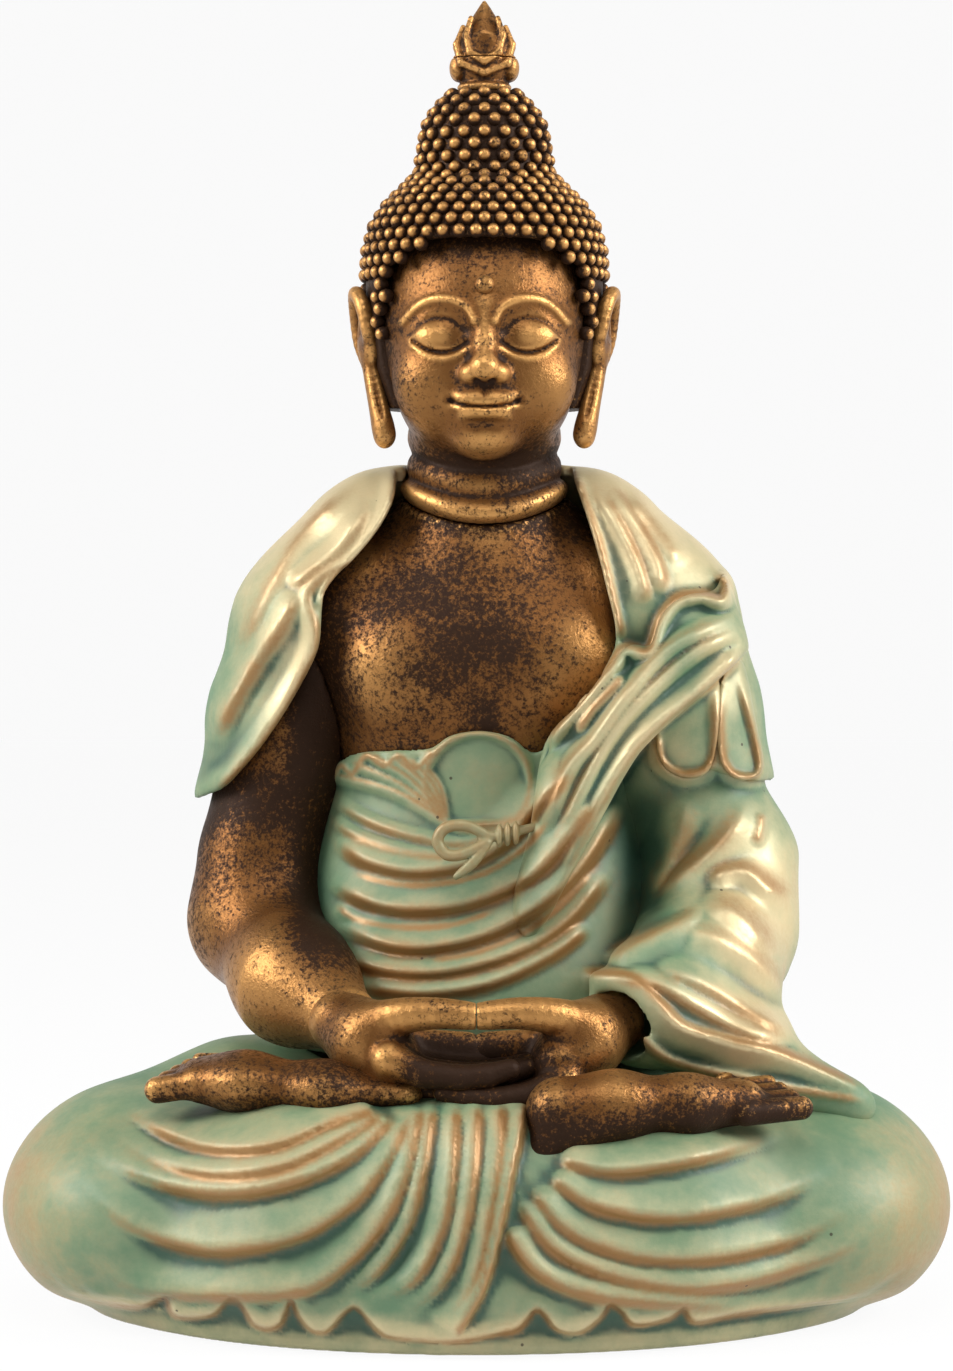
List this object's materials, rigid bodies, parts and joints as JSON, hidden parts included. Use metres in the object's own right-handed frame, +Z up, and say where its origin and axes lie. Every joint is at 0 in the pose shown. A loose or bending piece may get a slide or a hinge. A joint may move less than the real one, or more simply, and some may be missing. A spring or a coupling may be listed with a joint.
{
  "type": "buddha statue",
  "caption": "Seated meditating figure with hands in the lap, bronze skin and verdigris robe, cast in sections on a felted base; a free-standing ornament.",
  "frame": {"origin": "middle of the felt underside, on the table", "axes": "+Z up, -Y is the figure's front, +X is to the viewer's right"},
  "size_m": [0.2346, 0.1555, 0.33],
  "materials": {
    "bronze_finish": "cold-cast resin, bronze paint rubbed back",
    "verdigris_finish": "cold-cast resin, verdigris wash over bronze",
    "pin_steel": "bright",
    "plaster": "plain",
    "board": "raw fibreboard",
    "felt": "black felt"
  },
  "bodies": {
    "root": {"torso_casting": "bronze_finish", "right_arm": "bronze_finish", "right_hand": "bronze_finish", "left_hand": "bronze_finish", "right_foot": "bronze_finish", "left_foot": "bronze_finish", "head_casting": "bronze_finish", "hair_cap": "bronze_finish", "topknot": "bronze_finish", "finial_cup": "bronze_finish", "finial_jewel": "bronze_finish", "right_ear": "bronze_finish", "left_ear": "bronze_finish", "forehead_bead": "bronze_finish", "leg_casting": "verdigris_finish", "front_apron": "verdigris_finish", "right_hem": "verdigris_finish", "left_hem": "verdigris_finish", "left_sleeve": "verdigris_finish", "right_shoulder_robe": "verdigris_finish", "left_shoulder_robe": "verdigris_finish", "shawl_end": "verdigris_finish", "inner_lappet": "verdigris_finish", "outer_lappet": "verdigris_finish", "waist_robe": "verdigris_finish", "pleated_panel": "verdigris_finish", "belt_bow": "verdigris_finish", "neck_pin": "pin_steel", "finial_pin": "pin_steel", "right_arm_pin": "pin_steel", "left_arm_pin": "pin_steel", "right_waist_pin": "pin_steel", "left_waist_pin": "pin_steel", "base_felt": "felt", "base_board": "board", "ballast_block": "plaster"}
  },
  "joints": []
}
